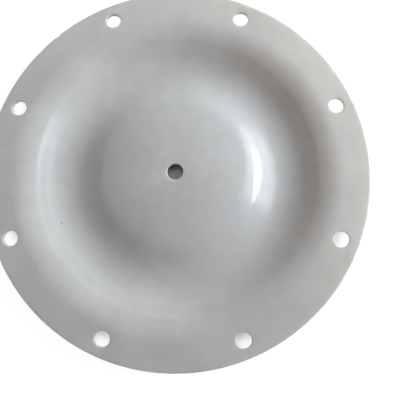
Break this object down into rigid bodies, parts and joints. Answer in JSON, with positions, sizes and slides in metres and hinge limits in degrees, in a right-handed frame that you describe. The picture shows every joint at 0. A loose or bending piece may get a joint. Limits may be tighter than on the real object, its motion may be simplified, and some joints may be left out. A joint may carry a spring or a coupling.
{
  "type": "pump diaphragm",
  "caption": "Round PTFE pump diaphragm: flat flange with bolt holes round the rim, one rolled groove that flexes, and a gently domed centre with a shaft hole.",
  "frame": {"origin": "centre of the bolt circle, on the underside of the flange", "axes": "+Z along the disc's axis, out of the face that the groove is sunk into; +X midway between two bolt holes"},
  "size_m": [0.2175, 0.2174, 0.0112],
  "materials": {
    "ptfe": "moulded, satin, slightly translucent white"
  },
  "bodies": {
    "root": {"diaphragm": "ptfe"}
  },
  "joints": []
}
